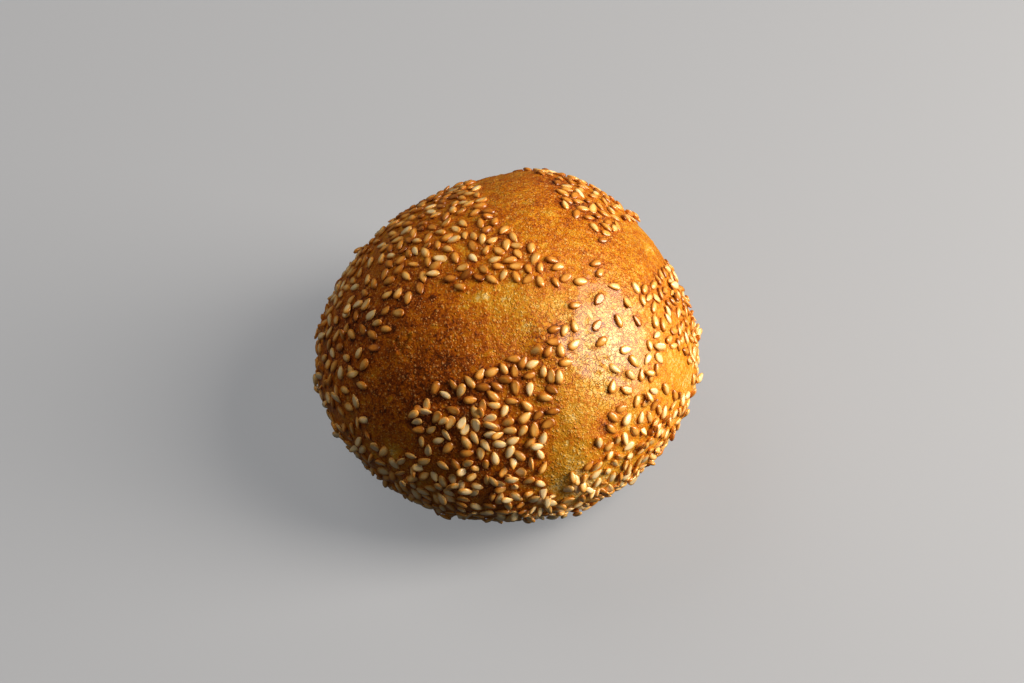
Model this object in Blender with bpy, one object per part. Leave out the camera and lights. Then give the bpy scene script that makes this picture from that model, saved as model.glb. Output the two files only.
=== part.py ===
"""A round bread roll strewn with sesame seeds.

Metres, +Z up, -Y towards the front. The origin is the centre of the flat spot
that the roll rests on. The roll is one baked solid; each seed is a piece of
its own that lies flat on the crust.
"""

import math
import random

import bmesh
import bpy
from mathutils import Matrix, Vector, noise
from mathutils.bvhtree import BVHTree

# The baked dough
BELT_RADIUS = 0.0430        # radius at the widest level
BELT_HEIGHT = 0.0200        # height of the widest level above the flat spot
CROWN_HEIGHT = 0.0565       # height of the crown above the flat spot
UNDER_DEPTH = 0.0280        # depth of the underside's ellipse, cut off by the flat spot
CROWN_POWER = 1.75          # 2 gives an elliptic dome, 1 a parabolic one
BELT_SOFTNESS = 0.35        # rounds the dome where it meets the underside
CROWN_LEAN = Vector((0.0035, 0.0030, 0.0))
LEAN_POWER = 1.5            # the lean grows towards the crown
SWELL = 0.0017              # height of the uneven swelling
SWELL_SCALE = 1.3
SWELL_OFFSET = Vector((3.0, -1.0, 1.0))
SWELL_FADE = 1.4            # the swelling fades towards the flat spot
GRID = 20                   # faces along each side of the cube that becomes the roll

# Soft folds from the crown to the belt, where the dough was gathered: azimuth
# in degrees, height and reach
FOLDS = (
    (-68.0, 0.0016, 0.0085),
    (78.0, 0.0018, 0.0150),
    (-172.0, 0.0007, 0.0090),
)
FOLD_ROUNDING = 0.0020      # half width of a fold's rounded top
FOLD_CENTRE = 25.0          # height on the dome, in degrees, where a fold is highest

# Sesame seeds
SEED_LENGTH = 0.0033
SEED_WIDTH = 0.0019
SEED_THICKNESS = 0.0009
SEED_TAPER = 0.38           # how much narrower the pointed end is
SEED_SIDES = 8
SEED_RINGS = 6
SEED_GAP = 0.0003           # clear of the crust
SEED_COUNT = 59
SEED_SPACING = 0.0068       # least distance between the middles of two sown seeds
SEED_RANDOM = 11
SOWN_FROM = -0.30           # sine of the lowest height that seeds reach
SOWN_TO = 0.98              # and of the highest

# The lone seeds on the glazed slope: azimuth and height seen from the belt's
# centre, then the turn of the seed from level, all in degrees
LONE_SEEDS = (
    (-42, 56, -20), (-29, 52, 10), (-27, 60, -35), (-17, 50, -60),
    (-30, 43, 75), (-23, 38, 80), (-43, 42, 5), (-36, 35, -25),
    (-56, 51, 50), (-62, 46, 85), (-9, 58, -30),
)

# Bare patches: azimuth and height of the centre, half size along level and up
# the slope, and the turn from level, all in degrees
BARE_PATCHES = (
    (-131, 46, 10, 21, 20),
    (-132, 23, 9, 18, 33),
    (-110, 55, 34, 14, 35),
    (22, 72, 24, 10, 24),
    (19, 36, 9, 42, 40),
    (81, 57, 11, 34, 27),
    (-33, 47, 16, 14, -50),
    (-60, 29, 8, 28, -32),
    (-21, 14, 5, 11, 35),
    (135, 6, 15, 17, 20),
    (78, 20, 18, 12, -15),
    (160, 34, 9, 14, 30),
    (32, 2, 8, 11, 0),
)

CRUST_COLOUR = (0.352, 0.105, 0.016, 1.0)
CRUST_ROUGHNESS = 0.48
SEED_COLOUR = (0.680, 0.400, 0.140, 1.0)
SEED_ROUGHNESS = 0.45


def clear_scene():
    for item in list(bpy.data.objects):
        bpy.data.objects.remove(item, do_unlink=True)


def material(name, colour, roughness):
    finish = bpy.data.materials.new(name)
    finish.use_nodes = True
    shader = finish.node_tree.nodes["Principled BSDF"]
    shader.inputs["Base Color"].default_value = colour
    shader.inputs["Roughness"].default_value = roughness
    shader.inputs["Metallic"].default_value = 0.0
    finish.diffuse_color = colour
    return finish


def add_object(name, shape, finish):
    mesh = bpy.data.meshes.new(name)
    shape.to_mesh(mesh)
    shape.free()
    mesh.shade_smooth()
    mesh.materials.append(finish)
    item = bpy.data.objects.new(name, mesh)
    bpy.context.scene.collection.objects.link(item)
    return item


def direction_of(azimuth, height):
    """Unit vector at an azimuth and a height above level, in degrees."""
    turn = math.radians(azimuth)
    rise = math.radians(height)
    return Vector((
        math.cos(turn) * math.cos(rise),
        math.sin(turn) * math.cos(rise),
        math.sin(rise),
    ))


def axes_on(outward, turn):
    """Axes whose Z is outward and whose X is turned from level, in degrees."""
    level = Vector((-outward.y, outward.x, 0.0)).normalized()
    slope = outward.cross(level)
    axes = Matrix((level, slope, outward)).transposed()
    return axes @ Matrix.Rotation(math.radians(turn), 3, "Z")


def dome_loss(rise):
    """Share of the squared radius that is lost at a share of the dome's height."""
    half = CROWN_POWER / 2.0
    base = BELT_SOFTNESS ** 2
    foot = base ** half
    return ((rise ** 2 + base) ** half - foot) / ((1.0 + base) ** half - foot)


def fold_height(direction):
    """How far the soft folds raise the crust in a direction."""
    total = 0.0
    for azimuth, height, reach in FOLDS:
        across = direction.dot(direction_of(azimuth + 90.0, 0.0)) * BELT_RADIUS
        along = max(direction.dot(direction_of(azimuth, FOLD_CENTRE)), 0.0)
        total += height * math.exp(-math.hypot(across, FOLD_ROUNDING) / reach) * along ** 2
    return total


def crust_point(direction):
    """The point of the crust that a unit vector from the belt's centre stands for."""
    rise = direction.z
    if rise >= 0.0:
        level = BELT_HEIGHT + (CROWN_HEIGHT - BELT_HEIGHT) * rise
        loss = dome_loss(rise)
    else:
        level = BELT_HEIGHT + UNDER_DEPTH * rise
        loss = rise ** 2
    outward = Vector((direction.x, direction.y, 0.0)).normalized()
    spread = BELT_RADIUS * math.sqrt(max(1.0 - loss, 0.0))
    lean = CROWN_LEAN * (max(level, 0.0) / CROWN_HEIGHT) ** LEAN_POWER
    swell = SWELL * noise.noise(direction * SWELL_SCALE + SWELL_OFFSET)
    raised = (swell + fold_height(direction)) * min(1.0, SWELL_FADE + rise)
    return outward * spread + Vector((0.0, 0.0, level)) + lean + direction * raised


def make_roll(finish):
    """A cube of even faces swollen to the roll and cut flat underneath."""
    shape = bmesh.new()
    bmesh.ops.create_cube(shape, size=2.0)
    bmesh.ops.subdivide_edges(
        shape, edges=shape.edges[:], cuts=GRID - 1, use_grid_fill=True
    )
    for vertex in shape.verts:
        even = Vector([math.tan(math.pi / 4.0 * value) for value in vertex.co])
        vertex.co = crust_point(even.normalized())
    cut = bmesh.ops.bisect_plane(
        shape,
        geom=shape.verts[:] + shape.edges[:] + shape.faces[:],
        dist=0.00001,
        plane_co=(0.0, 0.0, 0.0),
        plane_no=(0.0, 0.0, 1.0),
        clear_inner=True,
    )
    rim = [item for item in cut["geom_cut"] if isinstance(item, bmesh.types.BMEdge)]
    bmesh.ops.edgeloop_fill(shape, edges=rim)
    bmesh.ops.recalc_face_normals(shape, faces=shape.faces[:])
    tree = BVHTree.FromBMesh(shape)
    roll = add_object("bread_roll", shape, finish)
    roll.data.set_sharp_from_angle(angle=math.radians(25.0))
    return tree


def is_bare(direction):
    """True inside one of the bare patches."""
    for azimuth, height, half_level, half_slope, turn in BARE_PATCHES:
        centre = direction_of(azimuth, height)
        across, along, _ = axes_on(centre, turn).transposed() @ direction
        across /= math.sin(math.radians(half_level))
        along /= math.sin(math.radians(half_slope))
        if direction.dot(centre) > 0.0 and across ** 2 + along ** 2 < 1.0:
            return True
    return False


def surface_at(tree, direction):
    """Where a line from the belt's centre leaves the crust, and which way it faces."""
    centre = Vector((0.0, 0.0, BELT_HEIGHT))
    place, normal, _, _ = tree.ray_cast(centre, direction)
    return place, normal


def sow_seeds(tree):
    """The place, facing and turn of every seed: the lone ones, then the sown bands."""
    chance = random.Random(SEED_RANDOM)
    seeds = []
    for azimuth, height, turn in LONE_SEEDS:
        place, normal = surface_at(tree, direction_of(azimuth, height))
        seeds.append((place, normal, turn))
    while len(seeds) < SEED_COUNT:
        azimuth = chance.uniform(-180.0, 180.0)
        height = math.degrees(math.asin(chance.uniform(SOWN_FROM, SOWN_TO)))
        turn = chance.uniform(0.0, 360.0)
        direction = direction_of(azimuth, height)
        place, normal = surface_at(tree, direction)
        apart = all((place - other[0]).length > SEED_SPACING for other in seeds)
        if apart and not is_bare(direction):
            seeds.append((place, normal, turn))
    return seeds


def seed_shape():
    """A flat drop, round at one end and pointed at the other, along X."""
    shape = bmesh.new()
    bmesh.ops.create_uvsphere(
        shape,
        u_segments=SEED_SIDES,
        v_segments=SEED_RINGS,
        radius=1.0,
        matrix=Matrix.Rotation(math.pi / 2.0, 4, "Y"),
    )
    for vertex in shape.verts:
        taper = 1.0 - SEED_TAPER * (vertex.co.x + 0.35)
        vertex.co.x *= SEED_LENGTH / 2.0
        vertex.co.y *= SEED_WIDTH / 2.0 * taper
        vertex.co.z *= SEED_THICKNESS / 2.0 * taper
    return shape


def make_seed(number, place, normal, turn, finish):
    """One seed laid flat on the crust at its place."""
    item = add_object(f"sesame_seed_{number:02d}", seed_shape(), finish)
    lift = Matrix.Translation(place + normal * (SEED_THICKNESS * 0.55 + SEED_GAP))
    item.matrix_world = lift @ axes_on(normal, turn).to_4x4()


clear_scene()
crust_finish = material("baked_crust", CRUST_COLOUR, CRUST_ROUGHNESS)
seed_finish = material("sesame", SEED_COLOUR, SEED_ROUGHNESS)
crust_tree = make_roll(crust_finish)
for index, (spot, outward_way, seed_turn) in enumerate(sow_seeds(crust_tree), start=1):
    make_seed(index, spot, outward_way, seed_turn, seed_finish)
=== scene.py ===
"""A round bread roll strewn with sesame seeds, baked brown under an egg-wash glaze."""

import math
import random

import bpy
import numpy as np
from mathutils import Matrix, Vector, noise
from mathutils.kdtree import KDTree


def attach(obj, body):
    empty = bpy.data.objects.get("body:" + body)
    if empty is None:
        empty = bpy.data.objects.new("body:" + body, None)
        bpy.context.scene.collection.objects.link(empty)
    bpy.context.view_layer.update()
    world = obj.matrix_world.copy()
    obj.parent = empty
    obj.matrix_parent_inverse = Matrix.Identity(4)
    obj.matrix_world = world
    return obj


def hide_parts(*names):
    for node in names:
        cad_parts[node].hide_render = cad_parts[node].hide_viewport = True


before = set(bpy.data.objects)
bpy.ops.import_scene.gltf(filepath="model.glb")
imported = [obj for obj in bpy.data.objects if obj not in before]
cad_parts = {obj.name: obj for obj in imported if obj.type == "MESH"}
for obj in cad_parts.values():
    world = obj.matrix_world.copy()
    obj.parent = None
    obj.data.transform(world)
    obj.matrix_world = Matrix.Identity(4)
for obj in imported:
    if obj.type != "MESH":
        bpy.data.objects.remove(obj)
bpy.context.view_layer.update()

# --- The camera ------------------------------------------------------------------
# It looks down on the roll from the front at 48 degrees, from a good half metre
# away, so that the dome and the crown show more than the sides.

CAMERA_PITCH = math.radians(48.0)
CAMERA_DISTANCE = 0.550
CAMERA_LENS = 84.9          # in millimetres
CAMERA_TARGET = Vector((0.00225, 0.0002, 0.02418))

view_back = Vector((0.0, -math.cos(CAMERA_PITCH), math.sin(CAMERA_PITCH)))
bpy.ops.object.camera_add(
    location=CAMERA_TARGET + view_back * CAMERA_DISTANCE,
    rotation=(math.radians(90.0) - CAMERA_PITCH, 0.0, 0.0),
)
camera = bpy.context.object
camera.name = "camera"
camera.data.lens = CAMERA_LENS
camera.data.clip_start = 0.01
bpy.context.scene.camera = camera

# --- The dough, rounded and risen --------------------------------------------------
# One lump of wheat dough, rounded in the hand and set down on a tray, so that it
# has a dome above, a turned-in underside and a flat spot. It is baked as one piece.

SKIN_GRAIN = 0.00054        # the finest shape of the crust that the mesh holds
BELT_CENTRE = Vector((0.0, 0.0, 0.020))     # middle of the roll at its widest level
FAR_OFF = 9.0               # further away than anything on the roll

bpy.ops.object.select_all(action="DESELECT")
crust = bpy.data.objects.new("baked_crust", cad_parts["bread_roll"].data.copy())
bpy.context.scene.collection.objects.link(crust)
crust.select_set(True)
bpy.context.view_layer.objects.active = crust
bpy.ops.object.mode_set(mode="EDIT")
bpy.ops.mesh.select_all(action="SELECT")
bpy.ops.mesh.remove_doubles(threshold=0.00001)
bpy.ops.mesh.tris_convert_to_quads()
bpy.ops.object.mode_set(mode="OBJECT")

rounded = crust.modifiers.new("rounded", "SUBSURF")
rounded.levels = 2
rounded.render_levels = 2
bpy.ops.object.modifier_apply(modifier=rounded.name)
skin = crust.modifiers.new("skin", "REMESH")
skin.mode = "VOXEL"
skin.voxel_size = SKIN_GRAIN
bpy.ops.object.modifier_apply(modifier=skin.name)
eased = crust.modifiers.new("eased", "SMOOTH")
eased.factor = 0.5
eased.iterations = 10
bpy.ops.object.modifier_apply(modifier=eased.name)
crust.data.materials.clear()
bpy.ops.object.shade_smooth()


def direction_of(azimuth, height):
    """Unit vector at an azimuth and a height above level, in degrees."""
    turn = math.radians(azimuth)
    rise = math.radians(height)
    return Vector((
        math.cos(turn) * math.cos(rise),
        math.sin(turn) * math.cos(rise),
        math.sin(rise),
    ))


def axes_on(outward, turn):
    """Axes whose Z is outward and whose X is turned from level, in degrees."""
    level = Vector((-outward.y, outward.x, 0.0)).normalized()
    slope = outward.cross(level)
    axes = Matrix((level, slope, outward)).transposed()
    return axes @ Matrix.Rotation(math.radians(turn), 3, "Z")


# The patches that the seeds missed: azimuth and height of the middle, half size
# along level and up the slope, and the turn from level, all in degrees
BARE_PATCHES = (
    (-131, 46, 10, 21, 20),
    (-132, 23, 9, 18, 33),
    (-110, 55, 34, 14, 35),
    (22, 72, 24, 10, 24),
    (19, 36, 9, 42, 40),
    (81, 57, 11, 34, 27),
    (-33, 47, 16, 14, -50),
    (-60, 29, 8, 28, -32),
    (-21, 14, 5, 11, 35),
    (135, 6, 15, 17, 20),
    (78, 20, 18, 12, -15),
    (32, 2, 8, 11, 0),
)


def beyond_patches(directions):
    """How far each direction is beyond the nearest patch's edge, 1 being the radius."""
    nearest = np.full(len(directions), FAR_OFF)
    for azimuth, height, half_level, half_slope, turn in BARE_PATCHES:
        axes = np.array(axes_on(direction_of(azimuth, height), turn))
        across, along, facing = (directions @ axes).T
        reach = np.hypot(
            across / math.sin(math.radians(half_level)),
            along / math.sin(math.radians(half_slope)),
        )
        beyond = np.hypot(across, along) * (1.0 - 1.0 / np.maximum(reach, 0.001))
        beyond[facing <= 0.0] = FAR_OFF
        nearest = np.minimum(nearest, beyond)
    return nearest


# --- The relief of the crust --------------------------------------------------------
# As the roll rose and baked, its skin pulled into a soft ridge in front and swelled
# unevenly. Steam lifted small blisters in it, and in one place it tore a little.

LUMPS_PER_MM = 0.11
LUMP_HEIGHT = 0.00018
RIPPLES_PER_MM = 0.42
RIPPLE_HEIGHT = 0.00008
BLISTERS_PER_MM = 0.55
BLISTER_SIZE = 0.42         # as a share of the gap between blisters
BLISTER_HEIGHT = 0.0014     # of the strongest there could be; all are much lower
BLISTERED_PER_MM = 0.31     # how quickly blistered places and smooth ones take turns

vertices = crust.data.vertices
places = np.empty(len(vertices) * 3)
vertices.foreach_get("co", places)
places = places.reshape(-1, 3)
outward = np.array([vertex.normal[:] for vertex in vertices])
directions = places - np.array(BELT_CENTRE)
directions /= np.linalg.norm(directions, axis=1)[:, None]

# Lumps and ripples all over, and scattered blisters
raised = np.empty(len(vertices))
for index, place in enumerate(places):
    point = Vector(place) * 1000.0
    lumps = noise.fractal(point * LUMPS_PER_MM, 1.0, 2.0, 3) * LUMP_HEIGHT
    ripples = noise.noise(point * RIPPLES_PER_MM) * RIPPLE_HEIGHT
    spacing, _ = noise.voronoi(point * BLISTERS_PER_MM + Vector((3.0, 1.0, 7.0)))
    pick = noise.noise(point * BLISTERED_PER_MM + Vector((9.0, 2.0, 4.0)))
    blister = max(BLISTER_SIZE - spacing[0], 0.0) * max(pick - 0.05, 0.0) * BLISTER_HEIGHT
    raised[index] = lumps + ripples + blister

# The ridge up the front, which fades round the side and low down
RIDGE_SIDE = direction_of(22.0, 0.0)        # level, square to the ridge
RIDGE_ROUNDING = 0.0005
RIDGE_REACH = 0.0040
RIDGE_HEIGHT = 0.00080
from_ridge = np.hypot(places @ np.array(RIDGE_SIDE), RIDGE_ROUNDING)
in_front = np.clip(-directions[:, 1] * 1.6, 0.0, 1.0)
high_up = np.clip(directions[:, 2] * 1.9 - 0.55, 0.0, 1.0)
raised += np.exp(-from_ridge / RIDGE_REACH) * in_front * high_up * RIDGE_HEIGHT

# Single blisters: azimuth and height in degrees, then radius and height in metres
BLISTERS = (
    (-107, 68, 0.0013, 0.00030),
    (-143, 59, 0.0008, 0.00035),
    (-96, 48, 0.0010, 0.00022),
    (20, 31, 0.0018, 0.00050),
    (13, 34, 0.0010, 0.00050),
    (-123, 7, 0.0020, 0.00035),
    (40, 69, 0.0012, 0.00035),
    (150, 58, 0.0015, 0.00035),
    (110, 30, 0.0018, 0.00040),
)
for azimuth, height, radius, lift in BLISTERS:
    _, middle, _, _ = crust.ray_cast(BELT_CENTRE, direction_of(azimuth, height))
    gap = np.linalg.norm(places - np.array(middle), axis=1) / radius
    raised += lift * np.clip(1.0 - gap ** 2, 0.0, 1.0) ** 2

# A small V-shaped tear in the skin, with raised lips: the azimuth and height where
# each arm starts, then its turn and length
TEAR = ((-137.3, 38.4, 152.0, 0.0027), (-137.3, 38.4, 95.0, 0.0038))
TEAR_HALF = 0.00036
TEAR_DEPTH = 0.00050
TEAR_REACH_IN = 0.003       # keeps the tear off the far side of the roll
LIP_OUT = 0.00085           # from the middle of the tear to the top of its lip
LIP_HEIGHT = 0.00022
from_tear = np.full(len(vertices), FAR_OFF)
for azimuth, height, turn, length in TEAR:
    _, start, facing, _ = crust.ray_cast(BELT_CENTRE, direction_of(azimuth, height))
    along, aside, off = ((places - np.array(start)) @ np.array(axes_on(facing, turn))).T
    beyond = np.clip(np.maximum(-along, along - length), 0.0, None)
    from_arm = np.hypot(aside, beyond)
    from_arm[off < -TEAR_REACH_IN] = FAR_OFF
    from_tear = np.minimum(from_tear, from_arm)
torn = np.exp(-(from_tear / TEAR_HALF) ** 2)
raised -= TEAR_DEPTH * torn
raised += LIP_HEIGHT * np.exp(-((from_tear - LIP_OUT) / TEAR_HALF) ** 2)

STILL_HEIGHT = 0.006        # below this the relief fades out towards the flat spot


def lift_skin(places, raised):
    """Moves the crust outward, and returns where its points now are."""
    risen = raised * np.clip(places[:, 2] / STILL_HEIGHT, 0.0, 1.0)
    lifted = places + outward * risen[:, None]
    lifted[:, 2] = np.maximum(lifted[:, 2], 0.0)
    vertices.foreach_set("co", lifted.ravel())
    crust.data.update()
    return lifted


places = lift_skin(places, raised)

# --- The sesame seeds --------------------------------------------------------------
# Hulled sesame, strewn on the wet glaze before baking, so each seed lies where it
# fell and is stuck down. They are flat drops, 3 mm long and not quite 2 mm wide.

SEED_HALF = Vector((0.00162, 0.00099, 0.00056))
SEED_ABOVE = 0.00024        # height of a seed's middle above the crust it sank into
SEED_END = 0.00070          # from its middle to the middle of either end
SEEDS_APART = 0.00150       # least distance between the ends of two seeds
SEED_ROOM = 2000            # more seeds than the roll can hold


def select_by(mesh, wanted):
    """Selects the vertices whose places wanted() accepts, in edit mode."""
    bpy.ops.mesh.select_all(action="DESELECT")
    bpy.ops.object.mode_set(mode="OBJECT")
    for vertex in mesh.vertices:
        vertex.select = wanted(vertex.co)
    bpy.ops.object.mode_set(mode="EDIT")


def seed_shape(name, fullness, taper, dish, bend):
    """One seed at the origin, round at -X and pointed at +X, with a dished top."""
    bpy.ops.object.select_all(action="DESELECT")
    bpy.ops.mesh.primitive_uv_sphere_add(segments=10, ring_count=8, radius=1.0)
    seed = bpy.context.object
    seed.name = name
    bpy.ops.object.mode_set(mode="EDIT")
    bpy.ops.mesh.select_mode(type="VERT")
    bpy.ops.mesh.select_all(action="SELECT")
    bpy.ops.transform.rotate(
        value=math.radians(90.0), orient_axis="Y", center_override=(0.0, 0.0, 0.0)
    )
    bpy.ops.object.mode_set(mode="OBJECT")
    rings = sorted({round(vertex.co.x, 4) for vertex in seed.data.vertices})
    bpy.ops.object.mode_set(mode="EDIT")
    for ring in rings:
        narrow = fullness - taper * (ring + 0.2) - 0.12 * max(ring, 0.0) ** 2
        select_by(seed.data, lambda place: abs(place.x - ring) < 0.01)
        bpy.ops.transform.resize(
            value=(1.0, narrow, narrow), center_override=(ring, 0.0, 0.0)
        )
        bpy.ops.transform.translate(value=(0.0, bend * ring * ring, 0.0))
    select_by(seed.data, lambda place: place.z > 0.55)
    bpy.ops.transform.resize(value=(1.0, 1.0, 1.0 - dish), center_override=(0.0, 0.0, 0.3))
    bpy.ops.mesh.select_all(action="SELECT")
    bpy.ops.transform.resize(value=SEED_HALF, center_override=(0.0, 0.0, 0.0))
    bpy.ops.mesh.normals_make_consistent(inside=False)
    bpy.ops.object.mode_set(mode="OBJECT")
    bpy.ops.object.shade_smooth()
    place = seed.data.attributes.new("seed_place", "FLOAT_VECTOR", "POINT")
    for vertex in seed.data.vertices:
        place.data[vertex.index].vector = vertex.co / SEED_HALF.x
    return seed


seed_shapes = (
    seed_shape("plump_seed", 1.00, 0.20, 0.00, 0.00),
    seed_shape("slim_seed", 0.86, 0.18, 0.10, 0.05),
    seed_shape("dished_seed", 1.04, 0.26, 0.80, -0.04),
    seed_shape("crooked_seed", 0.95, 0.30, 0.30, 0.12),
)


class Sown:
    """Where a seed lies: its middle, its axes, and how dark it roasted."""

    def __init__(self, place, axes, roast):
        self.place = place
        self.axes = axes
        self.roast = roast

    def ends(self):
        reach = self.axes @ Vector((SEED_END, 0.0, 0.0))
        return self.place - reach, self.place + reach


seed_chance = random.Random(21)
sown = []
seed_ends = np.full((SEED_ROOM * 2, 3), FAR_OFF)

PALE_ROAST = 0.06           # 0 is a raw white seed, 1 a dark brown one
CROWN_ROAST = 0.34          # how much darker on the crown
ROAST_SPREAD = 0.20
DARKEST_ROAST = 0.76


def roast_of(place):
    """Seeds on the crown roast darker than the ones near the belt."""
    risen = min(max((place.z - 0.010) / 0.040, 0.0), 1.0)
    roast = seed_chance.gauss(PALE_ROAST + CROWN_ROAST * risen, ROAST_SPREAD)
    return min(max(roast, 0.0), DARKEST_ROAST)


def lay_seed(direction, turn, tip_up, roll_over):
    """A seed laid on the crust in a direction from the belt's centre."""
    _, place, normal, _ = crust.ray_cast(BELT_CENTRE, direction)
    axes = axes_on(normal, turn)
    axes = axes @ Matrix.Rotation(roll_over, 3, "X") @ Matrix.Rotation(-tip_up, 3, "Y")
    return Sown(place + normal * SEED_ABOVE, axes, roast_of(place))


def is_clear(seed, looseness=1.0):
    """True if both ends of the seed keep their distance from all seeds already there."""
    others = seed_ends[:len(sown) * 2]
    return all(
        np.linalg.norm(others - np.array(end), axis=1).min() > SEEDS_APART * looseness
        for end in seed.ends()
    )


def keep_seed(seed):
    """Adds a seed to the ones that lie on the crust."""
    seed_ends[len(sown) * 2:len(sown) * 2 + 2] = seed.ends()
    sown.append(seed)


# The seeds whose places the frame already holds, with the same tips and turns
for name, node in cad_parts.items():
    if not name.startswith("sesame_seed"):
        continue
    points = np.array([vertex.co[:] for vertex in node.data.vertices])
    middle = points.mean(axis=0)
    _, _, ways = np.linalg.svd(points - middle, full_matrices=False)
    along = (points - middle) @ ways[0]
    tip_way = Vector(ways[0]) if along.max() > -along.min() else -Vector(ways[0])
    direction = (Vector(middle) - BELT_CENTRE).normalized()
    _, place, normal, _ = crust.ray_cast(BELT_CENTRE, direction)
    tip_way = (tip_way - normal * tip_way.dot(normal)).normalized()
    axes = Matrix((tip_way, normal.cross(tip_way), normal)).transposed()
    keep_seed(Sown(place + normal * SEED_ABOVE, axes, roast_of(place)))
framed_count = len(sown)

# More lone seeds on the glazed slope between the two front bands: azimuth, height
# and turn in degrees. They roasted darker, with no others round them.
LONE_ROAST = 0.2
LONE_DARKEST = 0.8
LONE_SEEDS = (
    (-32, 40, 30), (-61, 53, 10), (-68, 47, 60), (-62, 42, -10), (-55, 46, 15),
    (-50, 51, 70), (-40, 47, 20), (-20, 44, 40), (-14, 56, 0), (-35, 51, 50),
)
for azimuth, height, turn in LONE_SEEDS:
    seed = lay_seed(direction_of(azimuth, height), turn, 0.0, 0.0)
    if is_clear(seed):
        seed.roast = min(seed.roast + LONE_ROAST, LONE_DARKEST)
        keep_seed(seed)
lone_count = len(sown)

# The bands, strewn by chance: each seed keeps clear of the others round it, and the
# bands' edges are frayed. On the steep sides the seeds lie less flat.
THROWN = 24000              # most of them find no free place
LOWEST_RISE = -0.42         # sine of the lowest height that a seed can stick at
THIN_RISE = -0.22           # and of the height where they start to thin out
EDGE_CLEAR = 0.006          # no seeds this close to a patch, the radius being 1
EDGE_FRAY = 0.020
EDGE_FADE = 0.022           # from there to the full number of seeds
SIDE_RISE = 0.25            # sine of the height below which a place is on the side
SIDE_TILT = 0.34            # how far seeds tilt there, in radians
TOP_TILT = 0.12             # and how far higher up
USUAL_LOOSENESS = 1.06      # times the least distance between seeds
UNEVEN_LOOSENESS = 0.30
SPOT_LOOSENESS = 0.45
# Where fewer seeds fell: azimuth, height and reach in degrees
LOOSE_SPOTS = ((-162, 38, 20), (-150, 10, 16), (-38, 24, 10), (150, 20, 18))
throws = []
for _ in range(THROWN):
    height = math.degrees(math.asin(seed_chance.uniform(LOWEST_RISE, 1.0)))
    throws.append(direction_of(seed_chance.uniform(-180.0, 180.0), height))
distances = beyond_patches(np.array([direction[:] for direction in throws]))
for direction, beyond in zip(throws, distances):
    turn = seed_chance.uniform(0.0, 360.0)
    share = (beyond - EDGE_CLEAR + EDGE_FRAY * noise.noise(direction * 9.0)) / EDGE_FADE
    if direction.z < THIN_RISE:
        share *= (direction.z - LOWEST_RISE) / (THIN_RISE - LOWEST_RISE)
    if seed_chance.random() > share:
        continue
    tilt = SIDE_TILT if direction.z < SIDE_RISE else TOP_TILT
    tip_up = seed_chance.gauss(0.0, tilt)
    roll_over = seed_chance.gauss(0.0, 0.8 * tilt)
    seed = lay_seed(direction, turn, tip_up, roll_over)
    looseness = USUAL_LOOSENESS + UNEVEN_LOOSENESS * noise.noise(direction * 4.0)
    for azimuth, height, reach in LOOSE_SPOTS:
        facing = min(direction.dot(direction_of(azimuth, height)), 1.0)
        spot = math.exp(-(math.acos(facing) / math.radians(reach)) ** 2)
        looseness += SPOT_LOOSENESS * spot
    if is_clear(seed, looseness):
        keep_seed(seed)

# Seeds that landed on others below the crown and stayed propped up on them
PROPPED = 110
PROPPED_BELOW = 0.042
PROPPED_OFFSET = Vector((0.00150, 0.0, 0.00066))    # from the lower seed: out and up
PROPPED_LEAN = (0.15, 0.50)                         # least and most, in radians
PROPPED_SPIN = 0.7                                  # its spread, in radians
PROPPED_ROAST = 0.8         # times the roast of a seed that lies flat there
low_seeds = [seed for seed in sown[lone_count:] if seed.place.z < PROPPED_BELOW]
for under in seed_chance.sample(low_seeds, PROPPED):
    turn = seed_chance.uniform(0.0, 2.0 * math.pi)
    facing_out = under.axes @ Matrix.Rotation(turn, 3, "Z")
    lean = Matrix.Rotation(seed_chance.uniform(*PROPPED_LEAN), 3, "Y")
    spin = Matrix.Rotation(seed_chance.gauss(0.0, PROPPED_SPIN), 3, "Z")
    place = under.place + facing_out @ PROPPED_OFFSET
    keep_seed(Sown(place, facing_out @ lean @ spin, roast_of(place) * PROPPED_ROAST))

# --- The glaze ------------------------------------------------------------------------
# Egg wash dries to a thin glaze over the risen skin. It stays smooth on the slopes,
# wrinkles where the skin shrank, and pools among the seeds, where the crust is also
# painted darker as contact shade.

# the painted contact shade round a seed reaches as far as the glaze pools
HALO_REACH = 0.0011         # how far from a seed the glaze pools
HALO_HEIGHT = 0.00010

seed_tree = KDTree(len(sown) * 3)
for index, seed in enumerate(sown):
    for place in (*seed.ends(), seed.place):
        seed_tree.insert(place, index)
seed_tree.balance()
from_seed = np.array([seed_tree.find(place)[2] for place in places])
near_seed = np.exp(-(from_seed / HALO_REACH) ** 2)
lift_skin(places, near_seed * HALO_HEIGHT)

# Where the crust took more colour in the oven, or less, and three spots where it is
# painted paler as light: azimuth, height and reach in degrees, then how much more
TOAST_AND_PAINTED_LIGHT = (
    (-112, 31, 17, 0.24),
    (-115, 50, 24, 0.22),
    (-158, 38, 20, 0.18),
    (-135, 22, 12, 0.12),
    (-96, 0, 26, 0.24),
    (-165, 12, 26, 0.20),
    (60, 72, 26, 0.08),
    (64, 51, 8, 0.20),
    (40, 57, 6, 0.12),
    (-57, 20, 3.5, 0.40),
    (-61, 10, 4.0, 0.30),
    (-84, 66, 11, -0.18),
    (-143, 59, 1.5, 0.45),
    (-111, 66.5, 1.6, -0.50),
    (-103, 67.5, 1.4, -0.50),
    # painted light: the pale low waist, made paler still to stand in for light the lamps don't
    # give it
    (-66, 2, 12, -0.36),
    (-18, 18, 22, -0.11),
    (40, 69, 2.2, -0.35),
    (-124.5, 8.3, 2.4, -0.50),
    # painted highlight: paler crust where the key light's sheen lies on the glaze
    (-44, 45, 18, -0.20),
    # painted light: the low front strip, made paler where the lamps leave it dim
    (-46, 26, 15, -0.18),
    (-138, 41, 5, -0.10),
    (150, 18, 26, 0.10),
    (20, 31, 3, -0.40),
)
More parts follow.
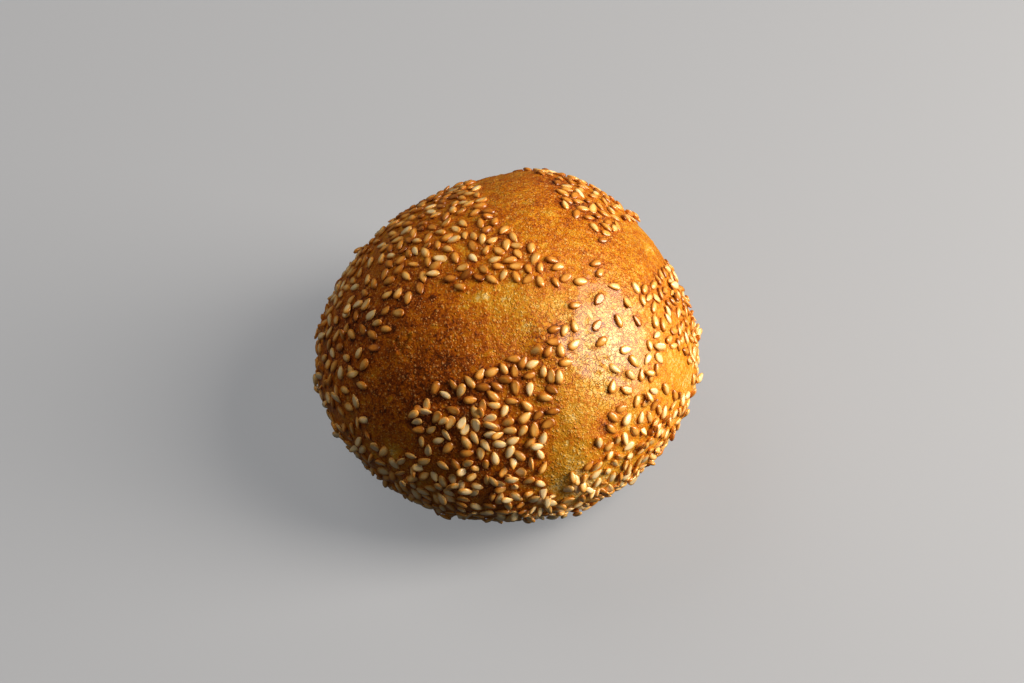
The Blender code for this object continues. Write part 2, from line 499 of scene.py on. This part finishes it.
# Where the glazed skin shrank into fine wrinkles, in the same way
WRINKLED = (
    (-64, 52, 12, 0.9),
    (-48, 34, 14, 1.0),
    (-30, 46, 14, 0.6),
    (10, 44, 20, 0.5),
    (60, 70, 26, 0.5),
    (170, 50, 20, 0.5),
)


def sum_of_spots(directions, spots):
    """The spots' amounts, each fading out from the middle of its spot."""
    total = np.zeros(len(directions))
    for azimuth, height, reach, amount in spots:
        facing = np.clip(directions @ np.array(direction_of(azimuth, height)), -1.0, 1.0)
        total += amount * np.exp(-(np.arccos(facing) / math.radians(reach)) ** 2)
    return total


TEAR_DARKENING = 0.08           # how much darker the crust is drawn along the tear
marks = {
    "near_seed": near_seed,
    "toast_and_painted_light": sum_of_spots(directions, TOAST_AND_PAINTED_LIGHT) + TEAR_DARKENING * torn,
    "wrinkled": sum_of_spots(directions, WRINKLED),
}
for name, values in marks.items():
    mark = crust.data.attributes.new(name, "FLOAT", "POINT")
    mark.data.foreach_set("value", values)


def add_node(tree, kind, inputs=None, **settings):
    """Adds a shader node; an input given as a socket is linked, any other is set."""
    node = tree.nodes.new(kind)
    for setting, value in settings.items():
        setattr(node, setting, value)
    for key, value in (inputs or {}).items():
        if isinstance(value, bpy.types.NodeSocket):
            tree.links.new(value, node.inputs[key])
        else:
            node.inputs[key].default_value = value
    return node


def maths(tree, operation, first, second=0.0, third=0.0):
    """The result of a Math node."""
    inputs = {0: first, 1: second, 2: third}
    return add_node(tree, "ShaderNodeMath", inputs, operation=operation).outputs[0]


def spread(tree, value, low, high, to_low=0.0, to_high=1.0):
    """A value eased from one range to another and held at its ends."""
    inputs = {0: value, 1: low, 2: high, 3: to_low, 4: to_high}
    return add_node(
        tree, "ShaderNodeMapRange", inputs, interpolation_type="SMOOTHSTEP"
    ).outputs[0]


def cloud(tree, vector, scale, detail=2.0, rough=0.5):
    """The grey of a Noise Texture."""
    inputs = {"Vector": vector, "Scale": scale, "Detail": detail, "Roughness": rough}
    return add_node(tree, "ShaderNodeTexNoise", inputs).outputs[0]


def sway(tree, value, amount, base):
    """Base plus an amount of a 0..1 value, evenly up and down."""
    return maths(tree, "MULTIPLY_ADD", maths(tree, "SUBTRACT", value, 0.5), amount, base)


def creases(tree, vector, scale, width):
    """0 along thin wandering lines, 1 elsewhere."""
    grey = cloud(tree, vector, scale, 1.5)
    from_line = maths(tree, "ABSOLUTE", maths(tree, "SUBTRACT", grey, 0.5))
    return spread(tree, from_line, 0.0, width)


def specks(tree, vector, scale, size, least):
    """Specks of uneven size, in the cells that draw more than the least number."""
    cells = add_node(tree, "ShaderNodeTexVoronoi", {"Vector": vector, "Scale": scale})
    draws = add_node(tree, "ShaderNodeSeparateColor", {0: cells.outputs["Color"]}).outputs
    gap = maths(
        tree, "DIVIDE", cells.outputs["Distance"], maths(tree, "ADD", draws[1], 0.45)
    )
    dot = spread(tree, gap, size, size * 0.2)
    return maths(tree, "MULTIPLY", dot, spread(tree, draws[0], least, least + 0.35))


def blend(tree, share, first, second):
    """A mix of two colours."""
    inputs = {0: share, 6: first, 7: second}
    return add_node(tree, "ShaderNodeMix", inputs, data_type="RGBA").outputs[2]


def ramp(tree, value, stops):
    """A colour ramp's result, from pairs of a position and a colour."""
    node = add_node(tree, "ShaderNodeValToRGB", {0: value})
    elements = node.color_ramp.elements
    while len(elements) < len(stops):
        elements.new(0.5)
    for element, (position, colour) in zip(elements, stops):
        element.position = position
        element.color = (*colour, 1.0)
    return node.outputs[0]


def place_in_mm(tree):
    """The place on the piece, in millimetres."""
    where = add_node(tree, "ShaderNodeTexCoord").outputs["Object"]
    inputs = {0: where, 3: 1000.0}
    return add_node(tree, "ShaderNodeVectorMath", inputs, operation="SCALE").outputs[0]


def vector_times(tree, vector, factors):
    """A vector with each of its parts multiplied by a factor."""
    inputs = {0: vector, 1: factors}
    return add_node(tree, "ShaderNodeVectorMath", inputs, operation="MULTIPLY").outputs[0]


glaze = bpy.data.materials.new("egg_glazed_crust")
glaze.use_nodes = True
tree = glaze.node_tree
shader = tree.nodes["Principled BSDF"]
in_mm = place_in_mm(tree)
high = add_node(tree, "ShaderNodeSeparateXYZ", {0: in_mm}).outputs["Z"]
glaze_pool_and_painted_shade, toast_and_painted_light, wrinkled = (
    add_node(tree, "ShaderNodeAttribute", attribute_name=name).outputs["Fac"] for name in marks
)

# Uneven browning and grain, from broad clouds to fine ones: their scales are per mm
broad = cloud(tree, in_mm, 0.055, 3.0)
mottle = cloud(tree, in_mm, 0.30, 4.0, 0.6)
leather = cloud(tree, in_mm, 0.75, 3.0, 0.6)
fine = cloud(tree, in_mm, 1.9, 3.0, 0.6)

# Pimples and thin spots, nudged off the cells' regular places, and fine creases
jitter = add_node(tree, "ShaderNodeTexNoise", {"Vector": in_mm, "Scale": 1.6}).outputs["Color"]
rough_place = add_node(
    tree, "ShaderNodeVectorMath", {0: jitter, 1: (0.5, 0.5, 0.5), 2: in_mm},
    operation="MULTIPLY_ADD",
).outputs[0]
large_pimples = specks(tree, rough_place, 1.05, 0.36, 0.30)
small_pimples = specks(tree, rough_place, 1.9, 0.42, 0.35)
pimples = maths(tree, "MAXIMUM", large_pimples, small_pimples)
thin_spots = specks(tree, rough_place, 0.42, 0.34, 0.55)
large_creases = creases(tree, in_mm, 0.50, 0.026)
small_creases = creases(tree, in_mm, 1.1, 0.045)
smooth_skin = maths(tree, "MULTIPLY", large_creases, small_creases)
sunk_lines = maths(tree, "MULTIPLY", maths(tree, "SUBTRACT", 1.0, smooth_skin), wrinkled)

# How far each spot baked: pale under the belt, deep brown on the crown, uneven all
# over, darker in the wrinkles and lighter in the specks. Round the seeds it is darker
# with pooled glaze and painted contact shade, and some listed spots are painted light.
baked = spread(tree, high, 2.0, 44.0, 0.17, 0.44)
baked = maths(tree, "ADD", toast_and_painted_light, baked)
for grey, amount in ((broad, 0.46), (mottle, 0.84), (fine, 1.08), (leather, 0.66)):
    baked = sway(tree, grey, amount, baked)
# round the seeds the crust is darker: pooled glaze with painted contact shade
for mark, amount in ((glaze_pool_and_painted_shade, 0.34), (pimples, -0.24), (thin_spots, -0.26), (sunk_lines, 0.26)):
    baked = maths(tree, "MULTIPLY_ADD", mark, amount, baked)
colour = ramp(tree, baked, (
    (0.00, (0.78, 0.51, 0.17)),
    (0.14, (0.70, 0.345, 0.034)),
    (0.30, (0.64, 0.260, 0.012)),
    (0.48, (0.57, 0.165, 0.004)),
    (0.66, (0.44, 0.094, 0.002)),
    (0.86, (0.22, 0.036, 0.002)),
    (1.00, (0.08, 0.014, 0.002)),
))
colour = blend(tree, maths(tree, "MULTIPLY", pimples, 0.50), colour, (0.80, 0.42, 0.14, 1.0))
tree.links.new(colour, shader.inputs["Base Color"])

gloss = spread(tree, mottle, 0.3, 0.7, 0.28, 0.42)
tree.links.new(maths(tree, "MULTIPLY_ADD", fine, 0.10, gloss), shader.inputs["Roughness"])
shader.inputs["Specular IOR Level"].default_value = 0.45
shader.inputs["Specular Tint"].default_value = (1.0, 0.74, 0.40, 1.0)
tree.links.new(spread(tree, wrinkled, 0.0, 1.0, 0.06, 0.42), shader.inputs["Coat Weight"])
shader.inputs["Coat Roughness"].default_value = 0.22
shader.inputs["Subsurface Weight"].default_value = 0.05
shader.inputs["Subsurface Radius"].default_value = (1.0, 0.45, 0.15)
shader.inputs["Subsurface Scale"].default_value = 0.0012

# The grain of the skin, in millimetres: coarse on plain skin, finer where it wrinkled
pimple_height = spread(tree, wrinkled, 0.0, 1.0, 0.14, 0.05)
fine_height = spread(tree, wrinkled, 0.0, 1.0, 0.24, 0.05)
leather_height = spread(tree, wrinkled, 0.0, 1.0, 0.34, 0.24)
height = maths(tree, "MULTIPLY", pimples, pimple_height)
height = maths(tree, "MULTIPLY_ADD", sunk_lines, -0.24, height)
height = maths(tree, "MULTIPLY_ADD", fine, fine_height, height)
height = maths(tree, "MULTIPLY_ADD", leather, leather_height, height)
bump = add_node(tree, "ShaderNodeBump", {"Strength": 1.0, "Distance": 0.001, "Height": height})
tree.links.new(bump.outputs[0], shader.inputs["Normal"])
crust.data.materials.append(glaze)
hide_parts("bread_roll")
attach(crust, "root")

# --- Laying the seeds ------------------------------------------------------------------
# Each seed is a toasted, slightly shiny husk, darker on the crown, and darker at its rim,
# partly as a browner husk edge and partly as painted shade. It is a copy of one of four
# shapes, and the seeds of each side are gathered into one piece.

sesame = bpy.data.materials.new("toasted_sesame")
sesame.use_nodes = True
tree = sesame.node_tree
shader = tree.nodes["Principled BSDF"]
roast = add_node(tree, "ShaderNodeAttribute", attribute_name="roast").outputs["Fac"]
local = add_node(tree, "ShaderNodeAttribute", attribute_name="seed_place").outputs["Vector"]
as_disc = vector_times(tree, local, (1.0, 1.65, 0.0))
from_middle = add_node(
    tree, "ShaderNodeVectorMath", {0: as_disc}, operation="LENGTH"
).outputs["Value"]
freckle = cloud(tree, place_in_mm(tree), 1.6, 3.0, 0.6)
streak = cloud(tree, vector_times(tree, local, (1.2, 7.0, 7.0)), 1.0, 3.0)
# the rim is darker: partly a browner husk edge, partly painted shade where the seed curves
# away
husk_rim_and_shade = spread(tree, from_middle, 0.35, 1.05, -0.08, 0.30)
tone = sway(tree, freckle, 0.36, roast)
tone = sway(tree, streak, 0.16, tone)
tone = maths(tree, "ADD", husk_rim_and_shade, tone)
colour = ramp(tree, tone, (
    (0.00, (0.95, 0.69, 0.36)),
    (0.20, (0.89, 0.51, 0.15)),
    (0.42, (0.77, 0.32, 0.045)),
    (0.68, (0.53, 0.165, 0.014)),
    (1.00, (0.22, 0.050, 0.005)),
))
tree.links.new(colour, shader.inputs["Base Color"])
shader.inputs["Roughness"].default_value = 0.30
shader.inputs["Coat Weight"].default_value = 0.60
shader.inputs["Specular Tint"].default_value = (1.0, 0.88, 0.68, 1.0)
shader.inputs["Coat Roughness"].default_value = 0.18
shader.inputs["Subsurface Weight"].default_value = 0.12
shader.inputs["Subsurface Radius"].default_value = (1.0, 0.55, 0.2)
shader.inputs["Subsurface Scale"].default_value = 0.0006
seed_bump = add_node(
    tree, "ShaderNodeBump", {"Strength": 0.6, "Distance": 0.00008, "Height": streak}
)
tree.links.new(seed_bump.outputs[0], shader.inputs["Normal"])
for shape in seed_shapes:
    shape.data.materials.append(sesame)

SHAPE_SHARES = (5, 2, 2, 2)
SMALLEST, LARGEST, USUAL = 0.80, 1.10, 0.98     # sizes, 1 being SEED_HALF's
SIDES = ("front", "right", "back", "left")
gathered = {side: [] for side in ("framed", *SIDES)}
for index, seed in enumerate(sown):
    shape = seed_chance.choices(seed_shapes, weights=SHAPE_SHARES)[0]
    piece = bpy.data.objects.new("seed", shape.data.copy())
    bpy.context.scene.collection.objects.link(piece)
    piece.matrix_world = (
        Matrix.Translation(seed.place)
        @ seed.axes.to_4x4()
        @ Matrix.Scale(seed_chance.triangular(SMALLEST, LARGEST, USUAL), 4)
    )
    tint = piece.data.attributes.new("roast", "FLOAT", "POINT")
    tint.data.foreach_set("value", [seed.roast] * len(piece.data.vertices))
    turned = math.degrees(math.atan2(seed.place.y, seed.place.x)) + 135.0
    side = SIDES[int(turned % 360.0 // 90.0)]
    gathered["framed" if index < framed_count else side].append(piece)

for shape in seed_shapes:
    bpy.data.objects.remove(shape)
framed_seeds = sorted(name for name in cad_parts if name.startswith("sesame_seed"))
for side, pieces in gathered.items():
    bpy.ops.object.select_all(action="DESELECT")
    for piece in pieces:
        piece.select_set(True)
    bpy.context.view_layer.objects.active = pieces[0]
    bpy.ops.object.join()
    bpy.ops.object.transform_apply(location=True, rotation=True, scale=True)
    strewn = bpy.context.object
    strewn.name = f"sesame_{side}"
    if side == "framed":
        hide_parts(*framed_seeds)
    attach(strewn, "root")

# --- The floor and the light ------------------------------------------------------------
# A plain pale table that neither lights the roll nor mirrors in it, one large soft
# light from the right, weak ones from behind and from the left, and a dim even sky.

bpy.ops.object.select_all(action="DESELECT")
bpy.ops.mesh.primitive_plane_add(size=6.0, location=(0.0, 0.0, -0.0001))
floor = bpy.context.object
floor.name = "floor"
floor_finish = bpy.data.materials.new("pale_floor")
floor_finish.use_nodes = True
floor_shader = floor_finish.node_tree.nodes["Principled BSDF"]
floor_shader.inputs["Base Color"].default_value = (0.22, 0.22, 0.23, 1.0)
floor_shader.inputs["Emission Color"].default_value = (0.95, 0.97, 1.0, 1.0)
floor_shader.inputs["Emission Strength"].default_value = 0.22
floor_shader.inputs["Roughness"].default_value = 0.9
floor_shader.inputs["Specular IOR Level"].default_value = 0.2
floor.data.materials.append(floor_finish)
floor.visible_glossy = False
floor.visible_diffuse = False

# The lights: azimuth and height in degrees, distance, width, height, watts and colour
LIGHTS = {
    "key": (-2.0, 31.0, 0.70, 0.38, 0.66, 11.6, (1.0, 0.94, 0.84)),
    "back": (132.0, 46.0, 0.90, 0.60, 0.40, 2.0, (1.0, 0.96, 0.90)),
    "left": (205.0, 48.0, 0.90, 0.60, 0.40, 0.45, (1.0, 0.97, 0.93)),
}
for name, (azimuth, height, distance, width, tall, watts, colour) in LIGHTS.items():
    way = direction_of(azimuth, height)
    bpy.ops.object.light_add(type="AREA", location=CAMERA_TARGET + way * distance)
    light = bpy.context.object
    light.name = name
    light.rotation_euler = way.to_track_quat("Z", "Y").to_euler()
    light.data.shape = "RECTANGLE"
    light.data.size = width
    light.data.size_y = tall
    light.data.energy = watts
    light.data.color = colour
    light.visible_glossy = name == "key"    # the only one that shows as a sheen

world = bpy.data.worlds.new("sky")
bpy.context.scene.world = world
world.use_nodes = True
sky = world.node_tree.nodes["Background"]
sky.inputs["Color"].default_value = (0.95, 0.96, 1.0, 1.0)
# The sky lights the roll dimly, and shows as bright as the floor beyond its far edge
seen = add_node(world.node_tree, "ShaderNodeLightPath").outputs["Is Camera Ray"]
sky_brightness = spread(world.node_tree, seen, 0.0, 1.0, 0.045, 0.28)
world.node_tree.links.new(sky_brightness, sky.inputs["Strength"])
bpy.context.scene.view_settings.view_transform = "Standard"
